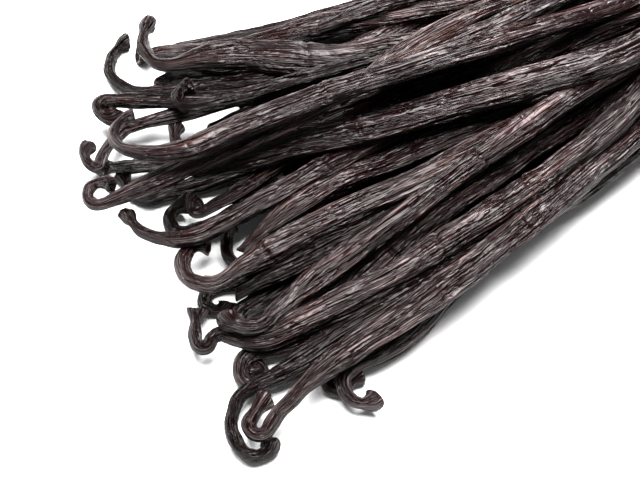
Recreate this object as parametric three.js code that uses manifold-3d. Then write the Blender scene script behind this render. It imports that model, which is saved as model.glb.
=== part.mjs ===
// A bundle of cured vanilla pods, lying loose on a table.
// Their stem ends fan out and hook over one another, and their far ends gather.
// Millimetres. +X runs from the stem ends to the far ends, +Z is up.
// The origin is on the table, under the middle of the bundle's box.
import * as THREE from "three";
import { mergeVertices } from "three/addons/utils/BufferGeometryUtils.js";
import Module from "manifold-3d";

// What the pods have in common
const STEM_WIDTH = 3.5; // the dry stem, away from its flared end
const FLARE_SHARE = 1.35; // width of the flared end, where it was picked, over the stem's
const FLARE_LENGTH = 4.5;
const SWELL_LENGTH = 26; // over this the stem widens to the full pod
const SWELL_EARLY = 4; // it starts this far before the end of the stalk
const TAPER_LENGTH = 34; // over this the pod narrows to its blunt far end
const TAPER_POWER = 2.2; // the higher, the later the pod narrows
const BLUNT_SHARE = 0.42; // width of the far end as a share of the pod's
const FLATNESS = 0.64; // thickness as a share of width
const STALK_FLATNESS = 0.9;

// How they lie on one another
const PRESS = 0.62; // a soft pod settles this share of a full thickness above the one below
const BEND_RADIUS = 160; // the tightest that a lying pod bends up and down
const SETTLE_STEP = 4; // spacing of the points that rest on the pods below
const STEM_STEP = 2; // the same on a hooked stem
const LARGEST_TURN = 18; // degrees between two points on a hooked stem
const FLAT_DEPTH = 0.25; // a pod on the table is pressed flat by this much

// How finely the solid is made
const SIDES = 7;
const RUN_STATION = 26; // spacing of the sections along a pod
const STEM_STATION = 7;
const STATION_TURN = 38; // degrees of bend between two sections
const WELD = 0.05; // vertices closer than this are one
const EVEN = 0.05; // slivers thinner than this are evened out

// The core that the pods lie round
const CORE_FROM = 0; // left of this the stem ends fan out with gaps between them
const CORE_TO = 138;
const CORE_ROWS = 13;
const CORE_COLUMNS = 9;
const CORE_INSET = 3; // pods left outside it at each side
const CORE_LOOK = 3; // it stays under the lowest cover this far around
const CORE_LEAST = 1; // its height where the cover is lowest

// The table, which flattens what would sink into it
const TABLE = { side: 400, depth: 20 };

// The middle of the bundle's box, in the plan that the pods are laid out in
const MIDDLE = { x: 51.225, y: 21.075 };

// One pod, in plan. Its knee is where the straight run starts, and aim is the way it
// heads there, in degrees from +X. The run ends at end, heading close. From the knee
// back to the stem's tip it takes steps of [length, turn], and stalk is the thin part
// of that length. Pods are listed in the order in which they were laid down.
function pod(name, fields) {
  return { name, stem: STEM_WIDTH, ...fields };
}

// Pods on the table, wholly under the others: they carry the heap, and the core
// stands for them in the solid
const UNDER_COUNT = 5;
const UNDER_KNEE = { x: -1, low: -12, high: 50 };
const UNDER_END = { x: 144, low: -4, high: 38 };
const UNDER_WIDTH = 7.4;
const UNDER_SPREAD = 4; // how unevenly their ends lie

function podsUnder() {
  return Array.from({ length: UNDER_COUNT }, (_, i) => {
    const share = i / (UNDER_COUNT - 1);
    const uneven = UNDER_SPREAD * Math.sin(2.4 * i + 1);
    const from = THREE.MathUtils.lerp(UNDER_KNEE.low, UNDER_KNEE.high, share);
    const to = THREE.MathUtils.lerp(UNDER_END.low, UNDER_END.high, share);
    const aim = THREE.MathUtils.radToDeg(Math.atan2(to - from, UNDER_END.x - UNDER_KNEE.x));
    return pod(`under the heap, ${i + 1}`, {
      knee: [UNDER_KNEE.x + uneven, from], aim, end: [UNDER_END.x + uneven, to], close: 0,
      width: UNDER_WIDTH, stalk: 2, back: [[6, uneven]],
    });
  });
}

const SHOWN = [
  pod("near side, on the table", {
    knee: [15, -36.5], aim: 20, end: [146, -17], close: 4, width: 8.2, stalk: 17, stem: 3.4,
    back: [[33.5, -31], [11, 210], [6, -13]],
  }),
  pod("near side, outermost", {
    knee: [7.5, -39], aim: 18, end: [150, -12.5], close: 12, width: 8, stalk: 18, stem: 3.8,
    back: [[21, -21], [13.5, 140], [5, 58]],
  }),
  pod("under the near side", {
    knee: [-20, -23.5], aim: 4, end: [148, -8], close: 7, width: 8, stalk: 2,
    back: [[6, 20]],
  }),
  pod("dark curl", {
    knee: [-18.5, -2], aim: -9, end: [140, 12.5], close: 0, width: 7.2, stalk: 14, stem: 3.8,
    back: [[17, 2], [14, 231]],
  }),
  pod("dark blunt end", {
    knee: [-31, -10.5], aim: 4, end: [142, 7.5], close: 7, width: 8, stalk: 1, stem: 5,
    back: [[5, 60]],
  }),
  pod("dark upright stem", {
    knee: [-3, -3], aim: -10, end: [144, 19.5], close: 2, width: 6.8, stalk: 20, stem: 4,
    back: [[20, 4], [7, -87], [13, -52]],
  }),
  pod("black loop", {
    knee: [-13.5, 17], aim: 8, end: [140, 20.5], close: 2, width: 7, stalk: 18, stem: 4.2,
    back: [[20, -25], [14, -164], [3, 17]],
  }),
  pod("low dark stem", {
    knee: [-21.5, 33.5], aim: -10, end: [138, 12], close: 6, width: 7, stalk: 15, stem: 3.8,
    back: [[16, -3], [7, -76], [8, -11]],
  }),
  pod("dark straight stem", {
    knee: [-29, 45], aim: -16, end: [136, 40.5], close: -7, width: 5.6, stalk: 5, stem: 4.2,
    back: [[17, -14], [2, 26]],
  }),
  pod("dark, under the fat pod", {
    knee: [10, 62], aim: -34, end: [146, 37.5], close: 1, width: 8.2, stalk: 10, stem: 3.8,
    back: [[20, -2], [7, 58], [4, 46]],
  }),
  pod("pale stub", {
    knee: [6.5, 28.5], aim: -15, end: [140, 25.5], close: -6, width: 6.4, stalk: 20, stem: 4,
    back: [[23, -7], [23, -116]],
  }),
  pod("under the far side", {
    knee: [33, 51], aim: -8, end: [152, 57], close: -10, width: 7, stalk: 2,
    back: [[6, 20]],
  }),
  pod("thin twig", {
    knee: [28, 76.5], aim: -13, end: [156, 53], close: 9, width: 5.4, stalk: 44, stem: 2.4,
    back: [[33, -4], [6, 126]],
  }),
  pod("far side, red brown", {
    knee: [-12.5, 85], aim: -24, end: [158, 53.5], close: 30, width: 8.2, stalk: 38, stem: 4,
    back: [[5, 3]],
  }),
  pod("far side, dark fold", {
    knee: [40, 59.5], aim: -6, end: [150, 51], close: 5, width: 7.2, stalk: 1,
    back: [[6, 0]],
  }),
  pod("far hook", {
    knee: [-1, 60.5], aim: -31, end: [140, 29.5], close: -6, width: 6.2, stalk: 28, stem: 3.8,
    back: [[20, 8], [12, -45], [22, -107]],
  }),
  pod("long grey stem", {
    knee: [-29, 59], aim: -11, end: [142, 12], close: -1, width: 5.8, stalk: 22,
    back: [[20, 70], [1, -101], [10, -116]],
  }),
  pod("orange brown", {
    knee: [-9, 22], aim: 6, end: [146, 10.5], close: 3, width: 6.4, stalk: 8, stem: 3.4,
    back: [[19, -12], [3, -95], [5, -81]],
  }),
  pod("thin inner stem", {
    knee: [20, 14.5], aim: 1, end: [146, -6.5], close: 7, width: 5.4, stalk: 8, stem: 2.6,
    back: [[19, 8], [8, -136]],
  }),
  pod("dark in the middle", {
    knee: [-23.5, -7.5], aim: -3, end: [150, 11], close: 11, width: 7.4, stalk: 2,
    back: [[8, 0]],
  }),
  pod("coiled stem", {
    knee: [-35.5, -24], aim: -11, end: [136, -18.5], close: -2, width: 7, stalk: 12, stem: 4,
    back: [[10.5, 130], [8.5, 205]],
  }),
  pod("lowest hook", {
    knee: [-19.5, -33.5], aim: 3, end: [142, -15], close: 15, width: 8, stalk: 28, stem: 3.8,
    back: [[20, -8], [22, 116], [9, 130]],
  }),
  pod("long inner", {
    knee: [-7, -21.5], aim: 13, end: [152, 7], close: 21, width: 7.8, stalk: 2,
    back: [[8, 0]],
  }),
  pod("low in the gap", {
    knee: [27.5, 20.5], aim: 7, end: [150, 10.5], close: -13, width: 6.4, stalk: 2,
    back: [[8, 0]],
  }),
  pod("high in the gap", {
    knee: [26, 30.5], aim: -12, end: [154, 19.5], close: -7, width: 6.4, stalk: 2,
    back: [[8, 0]],
  }),
  pod("near side, long", {
    knee: [-16.5, -39.5], aim: 2, end: [144, -11], close: 12, width: 8.2, stalk: 28, stem: 4.2,
    back: [[27.5, 25], [8, -170], [8, -20]],
  }),
  pod("brown, above the big hook", {
    knee: [-16.5, 4.5], aim: 16, end: [152, 8.5], close: 33, width: 8.6, stalk: 2,
    back: [[8, -2]],
  }),
  pod("sharply bent stem", {
    knee: [-28, -24], aim: -4, end: [142, 0], close: 25, width: 8.8, stalk: 22, stem: 4,
    back: [[14, -58], [6, 112], [5, -153], [12, -33]],
  }),
  pod("big brown hook", {
    knee: [-13, -2], aim: -1, end: [140, 6], close: 22, width: 8.4, stalk: 28, stem: 4.6,
    back: [[19.5, 9], [28.5, -213]],
  }),
  pod("long grey", {
    knee: [-9.5, -16], aim: 5, end: [144, -5], close: -4, width: 7.6, stalk: 10, stem: 5,
    back: [[18, 16], [14, -106]],
  }),
  pod("fat pod", {
    knee: [15.5, 58], aim: -43, end: [154, 23.5], close: -6, width: 11.2, stalk: 24, stem: 4,
    back: [[28, 26], [11, -65], [17.5, -63]],
  }),
  pod("blunt stem", {
    knee: [-18.5, 60], aim: -35, end: [138, 18.5], close: -5, width: 6.4, stalk: 10, stem: 4.8,
    back: [[18.5, 1], [10.5, 240]],
  }),
  pod("curled up stem", {
    knee: [4, 44.5], aim: -16, end: [142, 22], close: -1, width: 5.4, stalk: 16, stem: 3.6,
    back: [[19, -6], [16, -181]],
  }),
  pod("upper brown", {
    knee: [30, 28], aim: 11, end: [150, 31], close: 5, width: 7.6, stalk: 2,
    back: [[8, 0]],
  }),
  pod("upper brown, above", {
    knee: [49, 25.5], aim: -3, end: [152, 22.5], close: 2, width: 7, stalk: 2,
    back: [[8, 0]],
  }),
  pod("horn", {
    knee: [-28, 12], aim: 0, end: [134, 2], close: -24, width: 6.8, stalk: 12, stem: 3.6,
    back: [[17, -49], [13, -46]],
  }),
  pod("wide grey", {
    knee: [-17.5, 29.5], aim: -11, end: [150, 6.5], close: 32, width: 10, stalk: 2,
    back: [[8, -12]],
  }),
  pod("brown loop", {
    knee: [-35, 32.5], aim: -10, end: [134, 22.5], close: 0, width: 7, stalk: 18, stem: 3.8,
    back: [[16, 1], [18, -233]],
  }),
  pod("long top pod", {
    knee: [-19, 30.5], aim: -6, end: [138, 14], close: 6, width: 7.8, stalk: 19,
    back: [[25, -52], [18, -132]],
  }),
];

const radians = THREE.MathUtils.degToRad;
const heading = (degrees) =>
  new THREE.Vector2(Math.cos(radians(degrees)), Math.sin(radians(degrees)));

// The straight run, a cubic from the knee to the far end
function runPoints({ knee, aim, end, close }) {
  const from = new THREE.Vector2(...knee);
  const to = new THREE.Vector2(...end);
  const chord = from.distanceTo(to);
  const leave = heading(aim).multiplyScalar(chord / 3);
  const arrive = heading(close).multiplyScalar(chord / 3);
  const curve = new THREE.CubicBezierCurve(
    from, from.clone().add(leave), to.clone().sub(arrive), to,
  );
  const count = Math.round(chord / SETTLE_STEP);
  return Array.from({ length: count + 1 }, (_, i) => curve.getPoint(i / count));
}

// The bent part, from the knee back to the tip of the stem
function stemPoints({ knee, aim, back }) {
  const points = [new THREE.Vector2(...knee)];
  let way = aim + 180;
  for (const [length, turn] of back) {
    const count = Math.max(
      1, Math.round(length / STEM_STEP), Math.ceil(Math.abs(turn) / LARGEST_TURN),
    );
    for (let i = 0; i < count; i++) {
      way += turn / count / 2;
      points.push(points.at(-1).clone().addScaledVector(heading(way), length / count));
      way += turn / count / 2;
    }
  }
  return points;
}

// Distances along a row of points
function arcLengths(points) {
  const along = [0];
  for (let i = 1; i < points.length; i++)
    along.push(along[i - 1] + points[i].distanceTo(points[i - 1]));
  return along;
}

const smoothstep = (x) => THREE.MathUtils.smoothstep(x, 0, 1);

// Half the width of a pod at a distance from the tip of its stem
function halfWidth(spec, at, total) {
  const body = smoothstep((at - spec.stalk + SWELL_EARLY) / SWELL_LENGTH);
  const flare = spec.stalk > FLARE_LENGTH ? 1 - smoothstep(at / FLARE_LENGTH) : 0;
  const stem = Math.min(spec.stem, spec.width) * (1 + flare * (FLARE_SHARE - 1));
  const left = THREE.MathUtils.clamp((total - at) / TAPER_LENGTH, 0, 1);
  const tail = BLUNT_SHARE + (1 - BLUNT_SHARE) * Math.sqrt(1 - (1 - left) ** TAPER_POWER);
  return 0.5 * THREE.MathUtils.lerp(stem, spec.width, body) * tail;
}

// Half the thickness: round at the stem, flattened in the body
function halfThickness(spec, at, half) {
  const body = smoothstep((at - spec.stalk + SWELL_EARLY) / SWELL_LENGTH);
  return half * THREE.MathUtils.lerp(STALK_FLATNESS, FLATNESS, body);
}

// Lays every pod down, from the first to the last: each rests on the table or on the
// pods below it, and bends no tighter than BEND_RADIUS between what carries it.
function layDown(specs) {
  const laid = [];
  for (const spec of specs) {
    const stem = stemPoints(spec);
    const plan = [...stem.reverse().slice(0, -1), ...runPoints(spec)];
    const along = arcLengths(plan);
    const total = along.at(-1);
    const half = along.map((at) => halfWidth(spec, at, total));
    const thick = along.map((at, i) => halfThickness(spec, at, half[i]));
    const rest = plan.map((point, i) => {
      let height = thick[i] - FLAT_DEPTH;
      for (const below of laid)
        below.plan.forEach((other, j) => {
          const reach = half[i] + below.half[j];
          const apart = point.distanceTo(other);
          if (apart >= reach) return;
          const stack = PRESS * (thick[i] + below.thick[j]);
          const lift = stack * Math.sqrt(1 - (apart / reach) ** 2);
          height = Math.max(height, below.height[j] + lift);
        });
      return height;
    });
    const height = along.map((at, i) =>
      Math.max(rest[i], ...rest.map((h, j) => h - (at - along[j]) ** 2 / (2 * BEND_RADIUS))),
    );
    laid.push({ spec, plan, along, half, thick, height, total });
  }
  return laid;
}

// The points of a laid pod that get a section: closer together where the stem bends
function stations({ plan, along, spec }) {
  const kept = [0];
  let turned = 0;
  for (let i = 1; i < plan.length - 1; i++) {
    const before = plan[i].clone().sub(plan[i - 1]).angle();
    const after = plan[i + 1].clone().sub(plan[i]).angle();
    const turn = Math.atan2(Math.sin(after - before), Math.cos(after - before));
    turned += THREE.MathUtils.radToDeg(Math.abs(turn));
    const gone = along[i] - along[kept.at(-1)];
    const step = along[i] < spec.stalk ? STEM_STATION : RUN_STATION;
    if (turned > STATION_TURN || gone > step) {
      kept.push(i);
      turned = 0;
    }
  }
  if (along.at(-1) - along[kept.at(-1)] < RUN_STATION / 2 && kept.length > 2) kept.pop();
  const last = plan.length - 1;
  const blunt = along.findIndex((at) => at > along[last] - TAPER_LENGTH / 4);
  if (blunt > kept.at(-1) + 1) kept.push(blunt);
  return [...kept, last];
}

// A closed three.js cylinder, its rows of vertices laid out along the pod
function podGeometry(lie) {
  const kept = stations(lie);
  const rows = kept.length - 1;
  const centre = lie.plan.map((p, i) => new THREE.Vector3(p.x, p.y, lie.height[i]));
  const geometry = new THREE.CylinderGeometry(1, 1, 1, SIDES, rows);
  const position = geometry.getAttribute("position");
  const vertex = new THREE.Vector3();
  for (let v = 0; v < position.count; v++) {
    vertex.fromBufferAttribute(position, v);
    const i = kept[Math.round((0.5 - vertex.y) * rows)];
    const ahead = centre[Math.min(i + 1, centre.length - 1)];
    const way = ahead.clone().sub(centre[Math.max(i - 1, 0)]).normalize();
    const side = new THREE.Vector3(-way.y, way.x, 0).normalize();
    const up = new THREE.Vector3().crossVectors(way, side);
    side.multiplyScalar(vertex.x * lie.half[i]);
    up.multiplyScalar(vertex.z * lie.thick[i]);
    vertex.copy(centre[i]).add(side).add(up);
    position.setXYZ(v, vertex.x, vertex.y, vertex.z);
  }
  return geometry;
}

// The pods that a cut across the bundle meets, from one side to the other
function crossing(laid, x) {
  const met = [];
  for (const { plan, half, height } of laid)
    for (let i = 1; i < plan.length; i++) {
      const share = (x - plan[i - 1].x) / (plan[i].x - plan[i - 1].x);
      if (!(share >= 0 && share < 1)) continue;
      met.push({
        y: THREE.MathUtils.lerp(plan[i - 1].y, plan[i].y, share),
        z: THREE.MathUtils.lerp(height[i - 1], height[i], share),
        half: half[i],
      });
    }
  return met.sort((a, b) => a.y - b.y);
}

// How high the middle of the highest pod is at a place, or 0 where none lies
function cover(met, y) {
  return Math.max(0, ...met.filter((m) => Math.abs(m.y - y) < m.half).map((m) => m.z));
}

// The heap inside the bundle: a box whose top follows the pods that cover it
function coreGeometry(laid) {
  const length = CORE_TO - CORE_FROM;
  const geometry = new THREE.BoxGeometry(1, 1, 1, CORE_ROWS, CORE_COLUMNS, 1);
  const position = geometry.getAttribute("position");
  for (let v = 0; v < position.count; v++) {
    const x = CORE_FROM + (position.getX(v) + 0.5) * length;
    const around = [x - CORE_LOOK, x, x + CORE_LOOK].map((at) => crossing(laid, at));
    const low = Math.max(...around.map((met) => met[CORE_INSET].y));
    const high = Math.min(...around.map((met) => met.at(-1 - CORE_INSET).y));
    const y = THREE.MathUtils.lerp(low, high, position.getY(v) + 0.5);
    const tops = around.flatMap((met) =>
      [-CORE_LOOK, 0, CORE_LOOK].map((off) => cover(met, y + off)),
    );
    const top = Math.max(CORE_LEAST, Math.min(...tops));
    position.setXYZ(v, x, y, position.getZ(v) > 0 ? top : -FLAT_DEPTH);
  }
  return geometry;
}

const wasm = await Module();
wasm.setup();

function solidOf(geometry) {
  const bare = geometry.clone();
  bare.deleteAttribute("normal");
  bare.deleteAttribute("uv");
  const merged = mergeVertices(bare, WELD);
  return new wasm.Manifold(
    new wasm.Mesh({
      numProp: 3,
      vertProperties: new Float32Array(merged.getAttribute("position").array),
      triVerts: new Uint32Array(merged.index.array),
    }),
  );
}

// The solid with vertices that all but touch made one and its slivers evened out.
// Of its skins only the one that faces out is kept: sealed hollows and loose scraps
// are dropped.
function outerSkin(solid) {
  const { vertProperties, triVerts } = solid.getMesh();
  const snapped = vertProperties.map((at) => Math.round(at / WELD) * WELD);
  const geometry = new THREE.BufferGeometry();
  geometry.setAttribute("position", new THREE.Float32BufferAttribute(snapped, 3));
  geometry.setIndex(new THREE.Uint32BufferAttribute(triVerts, 1));
  const skins = solidOf(geometry).simplify(EVEN).decompose();
  return skins.sort((a, b) => b.volume() - a.volume())[0];
}

function bundleGeometry() {
  const laid = layDown([...podsUnder(), ...SHOWN]);
  let heap = solidOf(coreGeometry(laid));
  for (const lie of laid.slice(UNDER_COUNT)) heap = heap.add(solidOf(podGeometry(lie)));
  const table = new THREE.BoxGeometry(TABLE.side, TABLE.side, TABLE.depth);
  table.translate(MIDDLE.x, MIDDLE.y, -TABLE.depth / 2);
  heap = heap.subtract(solidOf(table));
  const { vertProperties, triVerts } = outerSkin(heap).getMesh();
  const geometry = new THREE.BufferGeometry();
  geometry.setAttribute("position", new THREE.Float32BufferAttribute(vertProperties, 3));
  geometry.setIndex(new THREE.Uint32BufferAttribute(triVerts, 1));
  return geometry.translate(-MIDDLE.x, -MIDDLE.y, 0);
}

const curedPod = new THREE.MeshStandardMaterial({
  color: "#4a3a34",
  roughness: 0.55,
  metalness: 0,
});

const bundle = new THREE.Group();
const pods = new THREE.Mesh(bundleGeometry(), curedPod);
pods.name = "vanilla_pods";
bundle.add(pods);

export default bundle;
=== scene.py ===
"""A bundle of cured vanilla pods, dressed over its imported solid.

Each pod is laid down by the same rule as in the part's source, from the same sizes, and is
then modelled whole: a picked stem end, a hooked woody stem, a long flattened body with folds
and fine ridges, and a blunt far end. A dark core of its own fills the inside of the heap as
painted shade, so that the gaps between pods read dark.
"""

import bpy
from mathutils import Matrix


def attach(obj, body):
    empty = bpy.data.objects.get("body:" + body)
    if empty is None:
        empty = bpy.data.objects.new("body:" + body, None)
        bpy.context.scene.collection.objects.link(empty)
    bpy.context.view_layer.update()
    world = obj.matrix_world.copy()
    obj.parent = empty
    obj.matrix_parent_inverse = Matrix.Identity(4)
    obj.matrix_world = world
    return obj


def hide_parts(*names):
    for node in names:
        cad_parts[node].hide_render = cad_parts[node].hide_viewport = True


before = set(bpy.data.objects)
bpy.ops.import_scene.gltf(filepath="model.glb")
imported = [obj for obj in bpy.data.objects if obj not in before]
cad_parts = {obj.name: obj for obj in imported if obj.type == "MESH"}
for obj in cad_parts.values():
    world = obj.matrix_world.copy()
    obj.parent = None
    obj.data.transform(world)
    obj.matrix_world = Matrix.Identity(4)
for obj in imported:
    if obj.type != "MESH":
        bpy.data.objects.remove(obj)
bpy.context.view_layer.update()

import logging
import math
from dataclasses import dataclass, field
from enum import Enum
from typing import Any, Sequence

import bmesh
import bpy
import numpy as np
from mathutils import Matrix, Vector

log = logging.getLogger("vanilla")
MM = 0.001  # metres in a millimetre
NODE = "vanilla_pods"
BODY = "root"
MIDDLE = (51.225, 21.075)  # mm, the middle of the bundle's box in the plan
TABLE_CLEAR = 0.02  # mm, the lowest that a skin reaches above the table


class Layer(Enum):
    """Where in the heap a pod lies."""

    TABLE = "pods_on_the_table"
    FAR = "pods_of_the_far_side"
    INNER = "pods_inside_the_heap"
    UPPER = "upper_pods"
    TOP = "topmost_pods"


@dataclass(frozen=True)
class PodRecord:
    """One pod in plan, in mm and degrees.

    The knee is where the straight run starts, heading aim, and the run ends at end, heading
    close. From the knee back to the stem's tip it takes the steps (length, turn) of back, and
    stalk is the thin part of that length. Tone runs from -1, darker, to 1, greyer, and
    stem_tone is added to it on the stem. The tones are partly each pod's own colour and partly
    painted shade and sheen: darker for pods that lie low or under others, greyer for some that
    should catch more light. Warmth is the share of red-brown skin, and knuckles are the places
    with a crease across.
    """

    name: str
    layer: Layer
    knee: tuple[float, float]
    aim: float
    end: tuple[float, float]
    close: float
    width: float
    stalk: float
    back: tuple[tuple[float, float], ...]
    stem: float = 3.5
    tone: float = 0.0
    stem_tone: float = 0.0
    warmth: float = 0.25
    knuckles: tuple[float, ...] = ()
    sunk: bool = False


# In the order in which they were laid down
SHOWN = (
    PodRecord(
        "near side, on the table", Layer.TABLE, (15, -36.5), 20, (146, -17), 4, 8.2, 17,
        ((33.5, -31), (11, 210), (6, -13)), stem=3.4, tone=-0.1,
    ),
    PodRecord(
        "near side, outermost", Layer.TABLE, (7.5, -39), 18, (150, -12.5), 12, 8, 18,
        ((21, -21), (13.5, 140), (5, 58)), stem=3.8, tone=0.1, warmth=0.45, knuckles=(88,),
    ),
    PodRecord(
        "under the near side", Layer.TABLE, (-20, -23.5), 4, (148, -8), 7, 8, 2,
        ((6, 20),), tone=-0.5,
    ),
    PodRecord(
        "dark curl", Layer.TABLE, (-18.5, -2), -9, (140, 12.5), 0, 7.2, 14,
        ((17, 2), (14, 231)), stem=3.8, tone=-0.8, stem_tone=0.7,
    ),
    PodRecord(
        "dark blunt end", Layer.TABLE, (-31, -10.5), 4, (142, 7.5), 7, 8, 1,
        ((5, 60),), stem=5, tone=-0.8,
    ),
    PodRecord(
        "dark upright stem", Layer.TABLE, (-3, -3), -10, (144, 19.5), 2, 6.8, 20,
        ((20, 4), (7, -87), (13, -52)), stem=4, tone=-0.6,
    ),
    PodRecord(
        "black loop", Layer.TABLE, (-13.5, 17), 8, (140, 20.5), 2, 7, 18,
        ((20, -25), (14, -164), (3, 17)), stem=4.2, tone=-0.9,
    ),
    PodRecord(
        "low dark stem", Layer.TABLE, (-21.5, 33.5), -10, (138, 12), 6, 7, 15,
        ((16, -3), (7, -76), (8, -11)), stem=3.8, tone=-0.9, stem_tone=0.2,
    ),
    PodRecord(
        "dark straight stem", Layer.FAR, (-29, 45), -16, (136, 40.5), -7, 5.6, 5,
        ((17, -14), (2, 26)), stem=4.2, tone=-0.8,
    ),
    PodRecord(
        "dark, under the fat pod", Layer.FAR, (10, 62), -34, (146, 37.5), 1, 8.2, 10,
        ((20, -2), (7, 58), (4, 46)), stem=3.8, tone=-0.9,
    ),
    PodRecord(
        "pale stub", Layer.FAR, (6.5, 28.5), -15, (140, 25.5), -6, 6.4, 20,
        ((23, -7), (23, -116)), stem=4, tone=0.0,
    ),
    PodRecord(
        "under the far side", Layer.FAR, (33, 51), -8, (152, 57), -10, 7, 2,
        ((6, 20),), tone=-0.3, warmth=0.4,
    ),
    PodRecord(
        "thin twig", Layer.FAR, (28, 76.5), -13, (156, 53), 9, 5.4, 44,
        ((33, -4), (6, 126)), stem=2.4, tone=0.1, warmth=0.5,
    ),
    PodRecord(
        "far side, red brown", Layer.FAR, (-12.5, 85), -24, (158, 53.5), 30, 8.2, 38,
        ((5, 3),), stem=4, tone=0.1, warmth=0.8,
    ),
    PodRecord(
        "far side, dark fold", Layer.FAR, (40, 59.5), -6, (150, 51), 5, 7.2, 1,
        ((6, 0),), tone=-0.2, warmth=0.5,
    ),
    PodRecord(
        "far hook", Layer.FAR, (-1, 60.5), -31, (140, 29.5), -6, 6.2, 28,
        ((20, 8), (12, -45), (22, -107)), stem=3.8, tone=-0.6,
    ),
    PodRecord(
        "long grey stem", Layer.FAR, (-29, 59), -11, (142, 12), -1, 5.8, 22,
        ((20, 70), (1, -101), (10, -116)), tone=-0.2,
    ),
    PodRecord(
        "orange brown", Layer.INNER, (-9, 22), 6, (146, 10.5), 3, 6.4, 8,
        ((19, -12), (3, -95), (5, -81)), stem=3.4, tone=0.3, stem_tone=0.3, warmth=0.9,
    ),
    PodRecord(
        "thin inner stem", Layer.INNER, (20, 14.5), 1, (146, -6.5), 7, 5.4, 8,
        ((19, 8), (8, -136)), stem=2.6, tone=0.3, stem_tone=-0.8, warmth=0.4,
    ),
    PodRecord(
        "dark in the middle", Layer.INNER, (-23.5, -7.5), -3, (150, 11), 11, 7.4, 2,
        ((8, 0),), tone=-0.9,
    ),
    PodRecord(
        "coiled stem", Layer.INNER, (-35.5, -24), -11, (136, -18.5), -2, 7, 12,
        ((10.5, 130), (8.5, 205)), stem=4, tone=-0.2, stem_tone=-0.6, warmth=0.4,
    ),
    PodRecord(
        "lowest hook", Layer.INNER, (-19.5, -33.5), 3, (142, -15), 15, 8, 28,
        ((20, -8), (22, 116), (9, 130)), stem=3.8, tone=-0.7, stem_tone=0.2,
    ),
    PodRecord(
        "long inner", Layer.INNER, (-7, -21.5), 13, (152, 7), 21, 7.8, 2,
        ((8, 0),), tone=0.8, warmth=0.35, knuckles=(29,),
    ),
    PodRecord(
        "low in the gap", Layer.INNER, (27.5, 20.5), 7, (150, 10.5), -13, 6.4, 2,
        ((8, 0),), tone=0.4,
    ),
    PodRecord(
        "high in the gap", Layer.INNER, (26, 30.5), -12, (154, 19.5), -7, 6.4, 2,
        ((8, 0),), tone=0.5,
    ),
    PodRecord(
        "near side, long", Layer.INNER, (-16.5, -39.5), 2, (144, -11), 12, 8.2, 28,
        ((27.5, 25), (8, -170), (8, -20)), stem=4.2, tone=0.3, stem_tone=0.1, warmth=0.4,
        knuckles=(76, 110),
    ),
    PodRecord(
        "brown, above the big hook", Layer.UPPER, (-16.5, 4.5), 16, (152, 8.5), 33, 8.6, 2,
        ((8, -2),), tone=-0.1, stem_tone=-0.5, warmth=0.4, knuckles=(60,),
    ),
    PodRecord(
        "sharply bent stem", Layer.UPPER, (-28, -24), -4, (142, 0), 25, 8.8, 22,
        ((14, -58), (6, 112), (5, -153), (12, -33)), stem=4, tone=0.4, stem_tone=-1.2, warmth=0.35,
        knuckles=(90, 122),
    ),
    PodRecord(
        "big brown hook", Layer.UPPER, (-13, -2), -1, (140, 6), 22, 8.4, 28,
        ((19.5, 9), (28.5, -213)), stem=4.6, tone=0.3, stem_tone=0.3, warmth=0.6,
        knuckles=(43,),
    ),
    PodRecord(
        "long grey", Layer.UPPER, (-9.5, -16), 5, (144, -5), -4, 7.6, 10,
        ((18, 16), (14, -106)), stem=5, tone=0.2, stem_tone=-0.5, warmth=0.5, knuckles=(89, 106),
    ),
    PodRecord(
        "fat pod", Layer.UPPER, (15.5, 58), -43, (154, 23.5), -6, 11.2, 24,
        ((28, 26), (11, -65), (17.5, -63)), stem=4, tone=0.2, stem_tone=-0.5,
        warmth=0.45, knuckles=(68,),
    ),
    PodRecord(
        "blunt stem", Layer.UPPER, (-18.5, 60), -35, (138, 18.5), -5, 6.4, 10,
        ((18.5, 1), (10.5, 240)), stem=4.8, tone=-0.6, stem_tone=0.6, warmth=0.35, knuckles=(57,),
    ),
    PodRecord(
        "curled up stem", Layer.UPPER, (4, 44.5), -16, (142, 22), -1, 5.4, 16,
        ((19, -6), (16, -181)), stem=3.6, tone=-1.0, stem_tone=0.3,
    ),
    PodRecord(
        "upper brown", Layer.TOP, (30, 28), 11, (150, 31), 5, 7.6, 2,
        ((8, 0),), tone=0.4, warmth=0.8,
    ),
    PodRecord(
        "upper brown, above", Layer.TOP, (49, 25.5), -3, (152, 22.5), 2, 7, 2,
        ((8, 0),), tone=0.4, warmth=0.7,
    ),
    PodRecord(
        "horn", Layer.TOP, (-28, 12), 0, (134, 2), -24, 6.8, 12,
        ((17, -49), (13, -46)), stem=3.6, tone=-0.1, stem_tone=-0.6, warmth=0.3, knuckles=(69,),
    ),
    PodRecord(
        "wide grey", Layer.TOP, (-17.5, 29.5), -11, (150, 6.5), 32, 10, 2,
        ((8, -12),), tone=0.8, warmth=0.3, knuckles=(50,),
    ),
    PodRecord(
        "brown loop", Layer.TOP, (-35, 32.5), -10, (134, 22.5), 0, 7, 18,
        ((16, 1), (18, -233)), stem=3.8, tone=0.2, stem_tone=0.4, warmth=0.6,
    ),
    PodRecord(
        "long top pod", Layer.TOP, (-19, 30.5), -6, (138, 14), 6, 7.8, 19,
        ((25, -52), (18, -132)), tone=0.8, warmth=0.45, knuckles=(77,),
    ),
)


# Low on the table, where only a little of each shows in a gap between the others
IN_THE_GAPS = (
    PodRecord(
        "low under the far side", Layer.FAR, (26, 66), -10, (146, 50), -6, 7.4, 2,
        ((6, 10),), tone=-0.4, warmth=0.5,
    ),
    PodRecord(
        "low under the near side", Layer.TABLE, (-20, -18.5), 7, (70, -8), 6, 7.4, 2,
        ((6, 10),), tone=-0.9, warmth=0.2,
    ),
)


def smoothstep(at: np.ndarray) -> np.ndarray:
    """From 0 to 1 with level ends."""
    held = np.clip(at, 0, 1)
    return held * held * (3 - 2 * held)


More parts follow.
